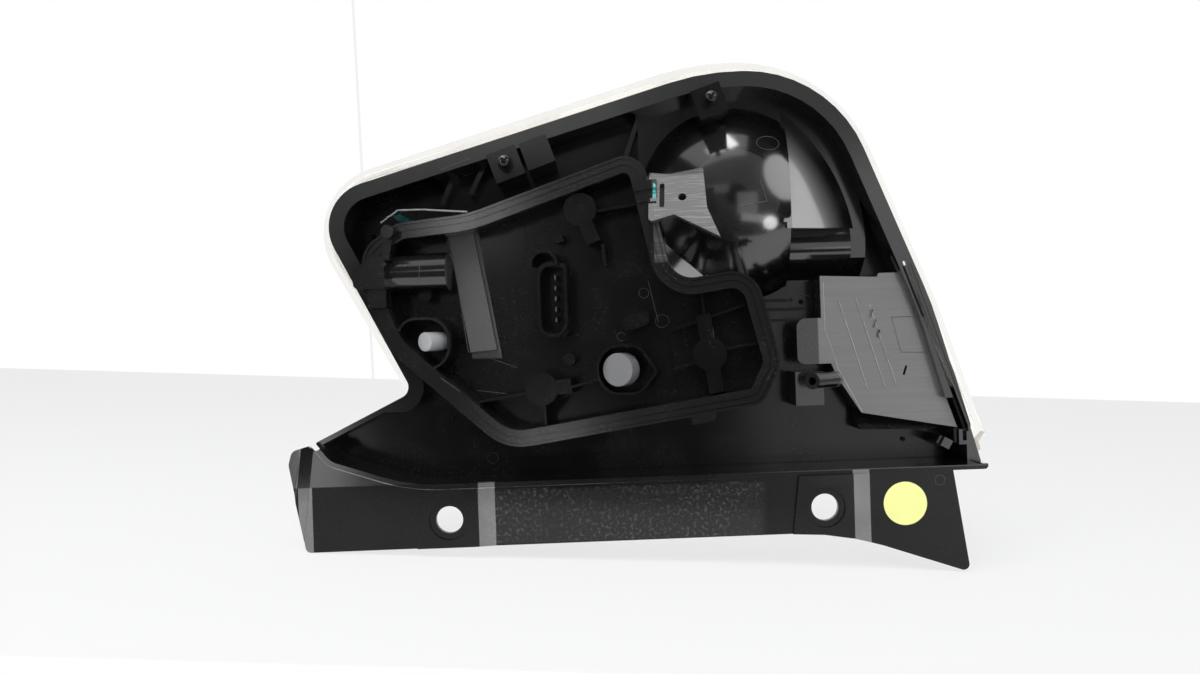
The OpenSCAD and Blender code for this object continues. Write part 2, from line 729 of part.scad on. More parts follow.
module connector_shroud() {
    difference() {
        outline([[-19, -19, 7], [-3, -19, 3], [-3, 19, 3], [-19, 21, 7]], 10, dish_depth + eps);
        outline([[-17.2, -17, 6], [-4.8, -17, 2], [-4.8, 17, 2], [-17.2, 19, 6]], 9, dish_depth - 1);
    }
}
module carrier_latches() {
    translate([0, 1.2, tab_z]) rotate([-tab_lean, 0, 0]) difference() {
        outline([[42, -14, 2], [55, -10, 2], [78, -24, 0], [71.5, -7, 12], [69.5, 17, 0], [52, 14, 8],
            [42, 15.5, 1]], -1, 1.2);
        outline([[47.5, -5.5, 1], [50, -5.5, 1], [50, 8.5, 1], [47.5, 8.5, 1]], -2, 2);
        rod([59, 0], 4.2, -2, 2);
    }
    translate([42, 0, tab_z - 10]) cube([4, flange_t, 20]);
    wall_line([92, -4.5], [112, -4.5], 1.6, 0, flange_t);
    wall_line([92, -9], [119, -9], 1.6, 2, flange_t);
    wall_line([92, -14.5], [112, -14.5], 1.6, 0, flange_t);
    rod([-93, 38], 7, -8, flange_t);
    wall_line([-93, 38], [-96, 24], 4, -3, flange_t);
    outline([[-113, 9, 3], [-96, 9, 1], [-96, 25, 2], [-101, 27, 4], [-113, 19, 2]], -5, flange_t);
    outline([[-106, -1, 1], [-96, -1, 1], [-96, 10, 1], [-106, 10, 1]], -3, flange_t);
    outline([[60, -66, 1], [72, -63.5, 1], [72, -54, 0], [60, -56, 0]], 0, 5);
}
module sockets() {
    d = base_d + 2 * base_gap + 2 * socket_wall;
    for (p = [turn_at, stop_at, fog_at, reverse_inner_at, reverse_outer_at])
        rod(along_carrier(p), d, carrier_floor - eps, carrier_floor + socket_h);
}
module socket_bores() {
    for (p = [turn_at, stop_at, fog_at, reverse_inner_at, reverse_outer_at])
        rod(along_carrier(p), base_d + 2 * base_gap, carrier_floor, carrier_floor + socket_h + 1);
}
module lamp_holder() {
    color([0.11, 0.11, 0.115]) in_carrier() difference() {
        union() {
            ring(carrier_corners, 0, flange_w, 0, flange_t);
            ring(carrier_corners, dish_in, dish_in + carrier_wall, 0, carrier_floor);
            outline(grown(carrier_corners, -dish_in), dish_depth, carrier_floor);
            intersection() {
                outline(grown(carrier_corners, -dish_in), 0, carrier_floor);
                union() {
                    carrier_ribs();
                    key_pad([5.5, 46.3], [12, 29]);
                    key_pad([-17.6, -45.8], [-2, -44.5]);
                    key_pad([70, -30.3], [67, -10]);
                    wall_line([70, -30.3], [73, -50], neck_w, neck_y, dish_depth + eps);
                    outline(sandy_band, band_y, carrier_floor);
                    outline([[25, -18, 3], [39, -14, 3], [39, -6, 3], [25, -10, 3]], 14, carrier_floor);
                    outline(plateau_corners, plateau_y, carrier_floor);
                    socket_lip([-14.5, 19], -10);
                    socket_lip([-10.5, -12], 160);
                    rod([-4, -31], 6.6, 14, carrier_floor);
                    rod([-80, 5.3], 7, 14, carrier_floor);
                    connector_shroud();
                    well(left_well, rib_y - 4);
                    well(middle_well, rib_y);
                    insert_seat(left_insert_at, left_insert_lean, left_insert_len);
                    insert_seat(middle_insert_at, middle_insert_lean, middle_insert_len);
                    latch_barrel();
                }
            }
            carrier_latches();
            sockets();
        }
        ring(carrier_corners, 1.3, 2, -1, 0.8);
        ring(carrier_corners, 4.4, 5.1, -1, 0.8);
        outline(gloss_recess, dish_depth - 1, dish_depth + 0.9);
        wall_line([34, 52], [46, 53.5], 2.2, -1, 1.4);
        wall_line([34, 46.2], [46, 46.8], 2.2, -1, 1.4);
        socket_bores();
        connector_pins(0.2);
    }
}
module holder_gasket() {
    color([0.16, 0.16, 0.16]) in_carrier()
        ring(carrier_corners, collar_in + 0.1, collar_in + wall - 0.1, flange_t, collar_y);
}
module insert_form(p, d, len, lean) {
    lean_at(p, lean) difference() {
        rod([0, 0], d, 0, len);
        rod([0, 0], seat_post_d + 2 * insert_gap, len - seat_reach - insert_gap, len + 1);
    }
}
module left_socket_insert() {
    color([0.5, 0.51, 0.52]) in_carrier()
        insert_form(left_insert_at, left_insert_d, left_insert_len, left_insert_lean);
}
module middle_socket_insert() {
    color([0.5, 0.5, 0.5]) in_carrier()
        insert_form(middle_insert_at, middle_insert_d, middle_insert_len, middle_insert_lean);
}

// Ball studs
module ball_stud(p) {
    color([0.05, 0.05, 0.05]) {
        rod(p, stud_flange_d, bracket_y - stud_flange_t, bracket_y);
        rod(p, shank_d, bracket_y - ball_reach, bracket_y + wall + 2);
        translate([p[0], bracket_y - ball_reach, p[1]]) sphere(d = ball_d);
    }
}
module ball_stud_left() {
    ball_stud(ball_left);
}
module ball_stud_right() {
    ball_stud(ball_right);
}

// Leaf spring beside the left latch
module retaining_spring() {
    color([0.75, 0.76, 0.74]) in_carrier()
        deep(spring_y, spring_y + spring_w) polygon(band(spring_path, spring_t));
}
module inspection_sticker() {
    color([0.92, 0.94, 0.45]) rod(sticker_at, sticker_d, -sticker_t, 0);
}

// Bulbs: each is one sealed solid with its base
module bulb(p, d) {
    in_carrier() {
        c = along_carrier(p);
        start = carrier_floor + strip_metal_t + 0.2;
        rod(c, base_d, start, start + base_len);
        rod(c, base_d - 3, start + base_len - eps, start + base_len + 3);
        translate([c[0], start + base_len + 2 + d / 2, c[1]]) sphere(d = d);
    }
}
module stop_bulb() {
    color([0.9, 0.9, 0.9, 0.6]) bulb(stop_at, glass_d - 4);
}
module turn_bulb() {
    color([0.95, 0.5, 0.05, 0.7]) bulb(turn_at, glass_d - 4);
}
module reverse_bulb_inner() {
    color([0.9, 0.9, 0.9, 0.6]) bulb(reverse_inner_at, small_glass_d - 2);
}
module reverse_bulb_outer() {
    color([0.9, 0.9, 0.9, 0.6]) bulb(reverse_outer_at, small_glass_d - 2);
}
module fog_bulb() {
    color([0.9, 0.9, 0.9, 0.6]) bulb(fog_at, small_glass_d - 2);
}

// Contact strips on the lens side of the carrier's floor, each with its own pin through the floor
function pin_at(i) = [connector_at[0] - 1, connector_at[1] + pin_start + i * pin_pitch];
module pin_form(i, gap) {
    p = pin_at(i);
    translate([p[0] - 0.4 - gap, dish_depth - pin_len, p[1] - 1.1 - gap])
        cube([0.8 + 2 * gap, pin_len + carrier_wall + strip_metal_t / 2, 2.2 + 2 * gap]);
}
module connector_pins(gap) {
    for (i = [0 : 4]) pin_form(i, gap);
}
module contact_strip(i, route) {
    points = concat([pin_at(i)], route);
    y0 = carrier_floor;
    in_carrier() {
        pin_form(i, 0);
        for (k = [1 : len(points) - 1])
            wall_line(points[k - 1], points[k], contact_w, y0, y0 + strip_metal_t);
        for (p = points) rod(p, contact_w, y0, y0 + strip_metal_t);
    }
}
module ground_strip() {
    color([0.75, 0.68, 0.45]) contact_strip(2, [[-30, 1], [-30, -20]]);
}
module stop_strip() {
    color([0.75, 0.68, 0.45]) contact_strip(4, [[-10, 30]]);
}
module turn_strip() {
    color([0.75, 0.68, 0.45]) contact_strip(3, [[-36, 6.5]]);
}
module reverse_strip() {
    color([0.75, 0.68, 0.45]) contact_strip(1, [[18, -4.5]]);
}
module fog_strip() {
    color([0.75, 0.68, 0.45]) contact_strip(0, [[-10, -24]]);
}

housing();
outer_lens();
lens_sealant();
bezel();
reflector();
tail_filter();
stop_filter();
fog_filter();
reflex_reflector();
reflector_screws();
lamp_holder();
holder_gasket();
left_socket_insert();
middle_socket_insert();
ball_stud_left();
ball_stud_right();
retaining_spring();
inspection_sticker();
stop_bulb();
turn_bulb();
reverse_bulb_inner();
reverse_bulb_outer();
fog_bulb();
ground_strip();
stop_strip();
turn_strip();
reverse_strip();
fog_strip();
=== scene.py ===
# %% [markdown]
# # A tail light cluster, seen from the car body side
#
# The lamp is photographed from behind: a black moulded housing with a long fixing strip below it, a
# removable bulb carrier clipped into its back, and the clear outer lens showing as a pale rim round it.
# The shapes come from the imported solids. This script gives each of them its finish, adds the small
# things that solids do not carry, and sets up the light and the camera.

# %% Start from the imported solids
import math

import bmesh
import bpy
from mathutils import Matrix, Vector
from mathutils.bvhtree import BVHTree


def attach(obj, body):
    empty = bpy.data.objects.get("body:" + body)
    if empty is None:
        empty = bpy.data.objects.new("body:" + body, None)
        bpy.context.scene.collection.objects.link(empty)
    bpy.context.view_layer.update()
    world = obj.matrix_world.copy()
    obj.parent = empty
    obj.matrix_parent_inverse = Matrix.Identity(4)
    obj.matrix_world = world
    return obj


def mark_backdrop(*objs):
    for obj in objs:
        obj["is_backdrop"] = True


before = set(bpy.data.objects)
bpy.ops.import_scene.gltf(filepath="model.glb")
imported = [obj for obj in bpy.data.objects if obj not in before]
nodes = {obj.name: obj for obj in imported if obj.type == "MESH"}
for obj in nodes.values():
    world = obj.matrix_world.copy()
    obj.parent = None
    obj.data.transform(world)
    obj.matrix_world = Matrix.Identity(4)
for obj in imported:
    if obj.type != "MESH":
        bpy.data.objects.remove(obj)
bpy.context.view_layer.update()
MM = 0.001
print("solids loaded:", len(nodes))

# %% [markdown]
# ## Writing materials as sums
#
# A material in Blender is a graph of nodes. Written out by hand, a graph is long and hard to read, so
# one small class wraps the output of a node. Adding or multiplying two of them adds the Math node that
# does it, and the rest of the script can then say `0.3 + 0.1 * dust`.

# %% A value that flows through a material
class Signal:
    def __init__(self, finish, socket):
        self.finish, self.socket = finish, socket

    def math(self, operation, a, b):
        return self.finish.node("ShaderNodeMath", {"operation": operation}, {0: a, 1: b})

    def __add__(self, other): return self.math("ADD", self, other)
    def __radd__(self, other): return self.math("ADD", other, self)
    def __sub__(self, other): return self.math("SUBTRACT", self, other)
    def __rsub__(self, other): return self.math("SUBTRACT", other, self)
    def __mul__(self, other): return self.math("MULTIPLY", self, other)
    def __rmul__(self, other): return self.math("MULTIPLY", other, self)


# %% [markdown]
# A `Finish` is one material. Its `node` method makes any node there is: the type, then the settings of
# the node, then what goes into its sockets. The other methods are short names for what is used often:
# a place on the object, a soft step between two numbers, a noise, and a mix of two colours.

# %% A material and its nodes
class Finish:
    def __init__(self, name, **constants):
        self.material = bpy.data.materials.new(name)
        self.material.use_nodes = True
        self.tree = self.material.node_tree
        self.shader = self.tree.nodes["Principled BSDF"]
        self.put(self.shader, constants)

    def put(self, node, values):
        for key, value in values.items():
            if isinstance(value, Signal):
                self.tree.links.new(value.socket, node.inputs[key])
            else:
                socket = node.inputs[key]
                if hasattr(value, "__len__") and len(value) == 3 and len(socket.default_value) == 4:
                    value = (*value, 1.0)
                socket.default_value = value

    def node(self, kind, settings=None, sockets=None, out=0):
        made = self.tree.nodes.new(kind)
        for key, value in (settings or {}).items():
            setattr(made, key, value)
        self.put(made, sockets or {})
        return Signal(self, made.outputs[out])

    def place(self):
        return self.node("ShaderNodeTexCoord", out=3)

    def axes(self, where):
        made = self.node("ShaderNodeSeparateXYZ", {}, {0: where}).socket.node
        return [Signal(self, made.outputs[i]) for i in range(3)]

    def step(self, value, low, high):
        return self.node("ShaderNodeMapRange", {"interpolation_type": "SMOOTHSTEP"},
                         {"Value": value, "From Min": low, "From Max": high, "To Min": 0.0, "To Max": 1.0})

    def noise(self, where, scale, detail=3.0, roughness=0.5):
        return self.node("ShaderNodeTexNoise", {}, {"Vector": where, "Scale": scale, "Detail": detail,
                                                    "Roughness": roughness})

    def cells(self, where, scale, feature="F1"):
        return self.node("ShaderNodeTexVoronoi", {"feature": feature}, {"Vector": where, "Scale": scale})

    def stretched(self, where, scale, turn=(0, 0, 0)):
        return self.node("ShaderNodeMapping", {}, {"Vector": where, "Scale": scale, "Rotation": turn})

    def mix(self, mask, a, b):
        return self.node("ShaderNodeMix", {"data_type": "RGBA"}, {0: mask, 6: a, 7: b}, out=2)

    def bump(self, height, distance, strength=1.0):
        normal = self.node("ShaderNodeBump", {},
                           {"Height": height, "Distance": distance, "Strength": strength})
        self.put(self.shader, {"Normal": normal})

    def surface(self, **values):
        names = {"colour": "Base Color", "roughness": "Roughness", "coat": "Coat Weight"}
        self.put(self.shader, {names[key]: value for key, value in values.items()})


# %% [markdown]
# ## Black moulded plastic
#
# The housing is one moulding in black ABS and polycarbonate. Straight from the mould its back is glossy
# and shows the room like a dark mirror, while the fixing strip below is satin and a little scuffed from
# handling. One material does both: where on the object a point lies decides how rough it is, and where
# pale sheen, painted into the colour, lightens the side panel, the top of the rim, the ramps and the
# skirt.

# %% Housing plastic
def inside(finish, value, low, high, soft):
    """1 between two limits, falling to 0 over a soft margin."""
    return finish.step(value, low - soft, low) * (1 - finish.step(value, high, high + soft))


# Where the regions of the housing lie, in metres: across the lamp, up it and into it
STRIP_Z = (-0.06, 0.0185)
PATCH_X, PATCH_Z = (-0.075, 0.062), (-0.0125, 0.0135)
RAMPS_X = ((-0.0822, -0.0738), (0.1128, 0.1212), (-0.1755, -0.1688))
PANEL_X, PANEL_Z, PANEL_Y = (0.101, 0.18), (0.03, 0.13), (0.017, 0.0215)
RIM_Y = (0.0095, 0.0138)
TAIL_BOWL_X, TAIL_BOWL_Z = 0.02, 0.13


def housing_regions(f, x, y, z):
    """Masks for the strip, the scuffed patch on it, its ramps, the side panel, the rim and the skirt."""
    strip = inside(f, z, *STRIP_Z, 0.0006) * (1 - f.step(y, 0.004, 0.006))
    patch = inside(f, x, *PATCH_X, 0.006) * inside(f, z, *PATCH_Z, 0.002) * strip
    left, right, end = [inside(f, x, low, high, 0.0002) for low, high in RAMPS_X]
    ramps = strip * (left + right + end)
    panel = inside(f, x, *PANEL_X, 0.001) * inside(f, z, *PANEL_Z, 0.001) * inside(f, y, *PANEL_Y, 0.0005)
    rim = inside(f, y, *RIM_Y, 0.0004) * (1 - strip) * f.step(z, 0.1, 0.2)
    away = (x - TAIL_BOWL_X) * (x - TAIL_BOWL_X) + (z - TAIL_BOWL_Z) * (z - TAIL_BOWL_Z)
    skirt = f.step(x, 0.0882, 0.0888) * f.step(z, 0.1465, 0.148) * (1 - f.step(away, 0.0068, 0.0104))
    skirt = skirt * f.step(y, 0.016, 0.018) * (1 - f.step(y, 0.0325, 0.0335))
    return strip, patch, ramps, panel, rim, skirt


# %% [markdown]
# Wear is noise at several sizes: broad clouds of handling film, fine grain, drag marks stretched along
# the panel and dust specks. Painted light is mixed in too: pale flecks on the patch are painted glints,
# and the side panel, the top of the rim, the ramps and the skirt get painted sheen in their colour.
# Each is mixed in only where it belongs.

# %% Housing wear and painted sheen
# The pale end of the mix serves both the real dust and film and the painted sheens and glints.
BLACK, DUST_AND_SHEEN = (0.004, 0.004, 0.0045), (0.15, 0.15, 0.148)


def housing_plastic():
    f = Finish("black_moulding", **{"IOR": 1.5, "Specular IOR Level": 0.3, "Coat Roughness": 0.13,
                                    "Coat IOR": 1.8})
    where = f.place()
    x, y, z = f.axes(where)
    strip, patch, ramps, panel, rim, skirt = housing_regions(f, x, y, z)
    deep = f.step(y, 0.036, 0.043)
    cloud = f.noise(where, 38.0, 3.0)
    fine = f.noise(where, 900.0, 2.0, 0.6)
    drag = f.noise(f.stretched(where, (26, 26, 900), (0, 0.35, 0)), 1.0, 2.0)
    speck = f.step(f.noise(where, 1500.0, 2.0, 0.7), 0.64, 0.72) * f.step(cloud, 0.42, 0.62)
    film = f.step(f.noise(where, 22.0, 5.0, 0.65), 0.45, 0.75)
    mottle = f.noise(where, 520.0, 4.0, 0.6)
    # Painted glints: pale flecks in the colour of the scuffed patch, standing for specks that catch the
    # light.
    painted_glint = patch * f.step(mottle, 0.5, 0.66) * f.step(cloud, 0.3, 0.6)
    rough = 0.16 + 0.12 * f.step(cloud, 0.35, 0.75) + 0.05 * film + strip * (0.02 + 0.1 * fine)
    rough = rough + patch * 0.16 * f.step(f.noise(where, 260.0, 4.0), 0.4, 0.6)
    rough = rough + panel * (0.16 + 0.08 * drag) + 0.2 * rim + 0.2 * speck
    # Painted sheen: the side panel (its drag marks are real), the rim growing lighter towards the top, the
    # ramps and the skirt.
    pale = panel * (0.68 + 0.28 * drag) + rim * 0.14 + ramps * (0.6 + 0.6 * cloud)
    # Real handling film and dust, plus the painted glints on the patch.
    pale = pale + 0.04 * film * (1 - strip) + skirt * (1.1 + 0.7 * cloud) + 0.5 * speck + 0.32 * painted_glint
    coat = (1 - strip) * (1 - 0.75 * deep) + 0.05 * strip + 0.25 * patch + 0.9 * ramps
    f.surface(colour=f.mix(pale, BLACK, DUST_AND_SHEEN), roughness=rough, coat=coat)
    waves = f.noise(where, 60.0, 1.0)
    f.bump(fine * 0.12 * strip + mottle * patch * 3.0 + drag * panel * 0.1 + waves * 0.15, 0.0004, 0.35)
    return f.material


MOULDING = housing_plastic()
print("housing plastic:", len(MOULDING.node_tree.nodes), "nodes")

# %% [markdown]
# The bulb carrier is moulded in a duller black. Its floor is satin, its flange is glossy, and the flat
# band on its left is spark eroded, which gives it a fine sandy grain that catches the light. The latch
# plate, called tab here, is scratched by the tool that opens it.

# %% Carrier plastic
BAND_X, BAND_Z, BAND_Y = (-0.071, -0.0554), (0.084, 0.153), (0.0, 0.022)
TAB_X, TAB_Z = (0.013, 0.06), (0.13, 0.185)


def carrier_plastic():
    f = Finish("carrier_moulding", **{"IOR": 1.5, "Specular IOR Level": 0.3, "Coat Roughness": 0.17,
                                      "Coat IOR": 1.75})
    where = f.place()
    x, y, z = f.axes(where)
    along_band = x + z * 0.165
    past_flange = 0.1392 * (x + 0.031) + 0.9903 * (y + 0.012)
    flange = 1 - f.step(past_flange, 0.0056, 0.0066)
    band = inside(f, along_band, *BAND_X, 0.0004) * inside(f, z, *BAND_Z, 0.002)
    band = band * inside(f, y, *BAND_Y, 0.002)
    tab = inside(f, x, *TAB_X, 0.001) * inside(f, z, *TAB_Z, 0.002) * (1 - f.step(y, -0.0058, -0.0052))
    cloud = f.noise(where, 45.0, 3.0)
    grain = f.noise(where, 1500.0, 3.0, 0.7)
    scratch = f.step(f.noise(f.stretched(where, (60, 60, 1400), (0, 0.5, 0)), 1.0, 3.0), 0.52, 0.66)
    speck = f.step(f.noise(where, 1300.0, 2.0, 0.7), 0.62, 0.72) * f.step(cloud, 0.4, 0.62)
    rough = 0.2 + 0.12 * f.step(cloud, 0.35, 0.7) + 0.16 * band - 0.12 * flange + 0.3 * tab
    rough = rough - 0.08 * scratch * tab
    pale = speck * 0.5 + band * (0.42 + 0.4 * grain) + tab * (0.3 + 0.5 * scratch)
    pale = pale + flange * (1 - tab) * 0.03
    f.surface(colour=f.mix(pale, (0.0045, 0.0045, 0.005), (0.15, 0.15, 0.145)), roughness=rough,
              coat=(0.13 + 0.69 * flange) * (1 - band) * (1 - 0.3 * tab))
    f.bump(grain * (0.16 + 0.9 * band) + 0.3 * scratch * tab, 0.00025, 0.4)
    return f.material


CARRIER = carrier_plastic()

# %% [markdown]
# ## Clear, red and bright parts
#
# The outer lens is clear acrylic. From behind only its rim shows, pale against the wall. The inner
# lenses are red, and the bowls behind them are bright metallised plastic.

# %% Lens, filters and bowls
def clear_plastic(name, colour, roughness, ior=1.49):
    f = Finish(name, **{"Transmission Weight": 1.0, "IOR": ior})
    where = f.place()
    haze = f.noise(where, 50.0, 3.0)
    f.surface(colour=f.mix(f.step(haze, 0.4, 0.7), colour, tuple(0.97 * c for c in colour)),
              roughness=roughness + 0.05 * f.step(haze, 0.5, 0.8))
    f.bump(f.noise(where, 140.0, 2.0), 0.0002, 0.15)
    return f.material


def bright_metal(name, colour, roughness, grain=900.0):
    f = Finish(name, **{"Metallic": 1.0})
    where = f.place()
    cloud = f.noise(where, 40.0, 3.0)
    f.surface(colour=f.mix(cloud, colour, tuple(0.86 * c for c in colour)),
              roughness=roughness + 0.1 * cloud)
    f.bump(f.noise(where, grain, 2.0), 0.0001, 0.2)
    return f.material


CLEAR = clear_plastic("clear_lens", (0.975, 0.965, 0.935), 0.03)
RED = clear_plastic("red_lens", (0.75, 0.012, 0.01), 0.06)
BULB = clear_plastic("bulb_glass", (0.97, 0.97, 0.96), 0.0, 1.5)
AMBER = clear_plastic("amber_glass", (0.95, 0.42, 0.03), 0.02, 1.5)
BOWLS = bright_metal("metallised_bowls", (0.88, 0.89, 0.9), 0.05)
STEEL = bright_metal("spring_steel", (0.78, 0.79, 0.77), 0.22)
SCREWS = bright_metal("black_screws", (0.03, 0.03, 0.032), 0.45)
CONTACT = bright_metal("tinned_brass", (0.5, 0.45, 0.34), 0.35)
print("bright and clear materials ready")

# %% [markdown]
# ## Plain plastics, foam and paper
#
# The small parts share one recipe: a colour that varies a little, a satin face and a fine grain. Only
# the numbers change from the grey inserts to the foam seal and the yellow sticker.

# %% Plain finishes
def plain(name, colour, roughness, worn=0.1, grain=800.0, depth=0.0002):
    f = Finish(name)
    where = f.place()
    cloud = f.noise(where, 55.0, 4.0)
    fine = f.noise(where, grain, 3.0, 0.6)
    darker = tuple((1 - worn) * c for c in colour)
    f.surface(colour=f.mix(f.step(cloud, 0.35, 0.7), colour, darker), roughness=roughness + 0.1 * fine)
    f.bump(fine, depth, 0.35)
    return f.material


def reflex_plastic():
    """Red plastic whose back is a honeycomb of small prisms."""
    f = Finish("reflex_prisms", **{"IOR": 1.5, "Coat Roughness": 0.03})
    where = f.place()
    prism = f.cells(where, 420.0)
    f.surface(colour=f.mix(f.step(prism, 0.1, 0.6), (0.5, 0.006, 0.006), (0.2, 0.002, 0.003)),
              roughness=0.12 + 0.1 * prism, coat=1.0)
    f.bump(prism, 0.0006, 0.7)
    return f.material


FINISHES = {
    "housing": MOULDING, "lamp_holder": CARRIER, "outer_lens": CLEAR,
    "tail_filter": RED, "stop_filter": RED, "fog_filter": RED, "reflector": BOWLS,
    "stop_bulb": BULB, "reverse_bulb_inner": BULB, "reverse_bulb_outer": BULB, "fog_bulb": BULB,
    "turn_bulb": AMBER, "retaining_spring": STEEL, "reflector_screws": SCREWS,
    "reflex_reflector": reflex_plastic(),
    "bezel": plain("bezel_grey", (0.3, 0.31, 0.33), 0.3),
    "lens_sealant": plain("sealant", (0.03, 0.03, 0.03), 0.7, 0.3, 300.0, 0.0006),
    "holder_gasket": plain("gasket_foam", (0.05, 0.05, 0.05), 0.8, 0.3, 600.0, 0.0006),
    "left_socket_insert": plain("insert_grey_pale", (0.42, 0.43, 0.44), 0.35),
    "middle_socket_insert": plain("insert_grey", (0.2, 0.2, 0.205), 0.4),
    "ball_stud_left": plain("stud_black", (0.006, 0.006, 0.0065), 0.16),
    "inspection_sticker": plain("sticker_yellow", (0.93, 0.95, 0.36), 0.6, 0.04, 500.0, 0.0001),
}
FINISHES["ball_stud_right"] = FINISHES["ball_stud_left"]
for strip_name in ("ground", "stop", "turn", "reverse", "fog"):
    FINISHES[strip_name + "_strip"] = CONTACT
print("finishes:", len(FINISHES))

# %% [markdown]
# ## Giving the solids their finish
#
# Real mouldings have no perfectly sharp edges: a tool's corners leave a small radius, and that is what
# catches the light. Modifiers add the radius without touching the solid's own mesh. The solids come as
# loose triangles, so a Weld joins them and a Decimate that only dissolves flat regions turns them back
# into whole faces. Then the Bevel has clean edges to round, and weighted normals keep big faces flat.

# %% Edges and materials of the solids
# The edge radius of each solid that gets one, in millimetres
EDGE = {"housing": 0.5, "lamp_holder": 0.35, "outer_lens": 0.5, "bezel": 0.4, "left_socket_insert": 0.5,
        "middle_socket_insert": 0.8, "reflex_reflector": 0.4, "holder_gasket": 0.3}
WELD_GAP = 0.00002
FLAT_WITHIN, ROUND_ABOVE = math.radians(0.6), math.radians(32)


def dress(name):
    solid = nodes[name]
    solid.data.materials.clear()
    solid.data.materials.append(FINISHES[name])
    for face in solid.data.polygons:
        face.use_smooth = True
    solid.modifiers.new("join", "WELD").merge_threshold = WELD_GAP
    flat = solid.modifiers.new("whole faces", "DECIMATE")
    flat.decimate_type, flat.angle_limit = "DISSOLVE", FLAT_WITHIN
    if name in EDGE:
        edge = solid.modifiers.new("edge radius", "BEVEL")
        edge.width, edge.segments = EDGE[name] * MM, 2
        edge.limit_method, edge.angle_limit = "ANGLE", ROUND_ABOVE
    split = 23 if name == "housing" else 40
    solid.modifiers.new("keep corners", "EDGE_SPLIT").split_angle = math.radians(split)
    solid.modifiers.new("even light", "WEIGHTED_NORMAL").keep_sharp = True


for node_name in nodes:
    dress(node_name)
print("dressed:", len(nodes), "solids")

# %% [markdown]
# ## Fine moulded lines
#
# Tools leave fine raised lines on a moulding: rings where ejector pins pushed it out, scribed corners and
# parting lines. They are far too thin for the solids. Each is drawn as a path in plan, dropped onto the
# surface with a ray, and given a thin half-sunk tube.

# %% Dropping a path onto a surface
corners, faces = [], []
for solid in nodes.values():
    faces += [[len(corners) + i for i in face.vertices] for face in solid.data.polygons]
    corners += [vertex.co for vertex in solid.data.vertices]
skin = BVHTree.FromPolygons(corners, faces)
BEHIND = -0.06


def touch(x, z):
    """Where a ray along +Y first meets the lamp's back, and which way the surface faces there."""
    hit, normal, _, _ = skin.ray_cast(Vector((x * MM, BEHIND, z * MM)), Vector((0, 1, 0)))
    return hit, normal


def spaced(path, gap):
    """The path again with a point at least every gap millimetres."""
    points = []
    for (x0, z0), (x1, z1) in zip(path, path[1:]):
        count = max(1, int(math.hypot(x1 - x0, z1 - z0) / gap))
        points += [(x0 + (x1 - x0) * i / count, z0 + (z1 - z0) * i / count) for i in range(count)]
    return points + [path[-1]]


def loop(x, z, rx, rz, start=0, end=360):
    return [(x + rx * math.cos(math.radians(t)), z + rz * math.sin(math.radians(t)))
            for t in range(start, end + 1, 12)]


# %% Drawing the lines
TUBE = (-0.6, 0.5, 1.57, 2.64, 3.74)
STEP_OFF = 0.006


def add_line(mesh, path, radius):
    """A thin tube along a path; it breaks off where the path jumps from one level to another."""
    ring = None
    points = [touch(x, z) for x, z in spaced(path, 1.2)]
    points = [(hit, normal) for hit, normal in points if hit is not None]
    for i, (hit, normal) in enumerate(points):
        ahead = points[min(i + 1, len(points) - 1)][0] - points[max(i - 1, 0)][0]
        if ahead.length < 1e-7 or ahead.length > STEP_OFF:
            ring = None
            continue
        side = normal.cross(ahead).normalized()
        new = [mesh.verts.new(hit + radius * MM * (side * math.cos(t) + normal * math.sin(t)))
               for t in TUBE]
        if ring:
            for k in range(len(TUBE) - 1):
                mesh.faces.new((ring[k], ring[k + 1], new[k + 1], new[k]))
        ring = new


def laid_piece(piece_name, mesh, material, smooth):
    """Turns a working mesh into a piece that rides on the lamp's body."""
    data = bpy.data.meshes.new(piece_name)
    mesh.to_mesh(data)
    mesh.free()
    piece = bpy.data.objects.new(piece_name, data)
    bpy.context.scene.collection.objects.link(piece)
    data.materials.append(material)
    for face in data.polygons:
        face.use_smooth = smooth
    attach(piece, "root")
    print(piece_name, "has", len(data.polygons), "faces")


def lines(piece_name, paths, material):
    mesh = bmesh.new()
    for path, radius in paths:
        add_line(mesh, path, radius)
    laid_piece(piece_name, mesh, material, True)


# %% [markdown]
# The paths are in millimetres across and up the lamp. Grey lines were moulded, except the grey outline
# of the band on the carrier, which is a painted highlight for the bright lines along its edges. The paler
# ones on the side panel were scored by a tool, and show the raw plastic.

# %% The lines of the housing and the carrier
GREY_LINE = plain("moulded_line", (0.07, 0.07, 0.07), 0.3)
SCORED = plain("scored_line", (0.45, 0.44, 0.43), 0.4)
lines("housing_marks", [
    (loop(77.0, 193.0, 6.3, 3.9), 0.16), (loop(100.2, 115.4, 5.6, 4.2, 40, 320), 0.12),
    ([(71.0, 172.3), (74.4, 161.2), (59.8, 158.8)], 0.3), (loop(158, 12, 2.6, 2.6), 0.12),
    ([(-98, 183.5), (-82, 189)], 0.2), ([(-97, 181.5), (-81, 186.5)], 0.15), (loop(-78, 27, 3, 3), 0.1),
    ([(139.9, 97.7), (156.4, 97.7)], 0.14), ([(164, 78.4), (144.4, 78.6), (139.9, 97.7)], 0.14)],
    GREY_LINE)
lines("housing_scores", [
    ([(112.2, 107.8), (126.3, 59)], 0.17), ([(121.3, 109), (135.5, 60.5)], 0.15),
    ([(128.6, 105), (141.4, 62)], 0.13),
    ([(104.2, 118), (104.4, 92), (111, 70.5), (122.9, 47.6)], 0.14)], SCORED)
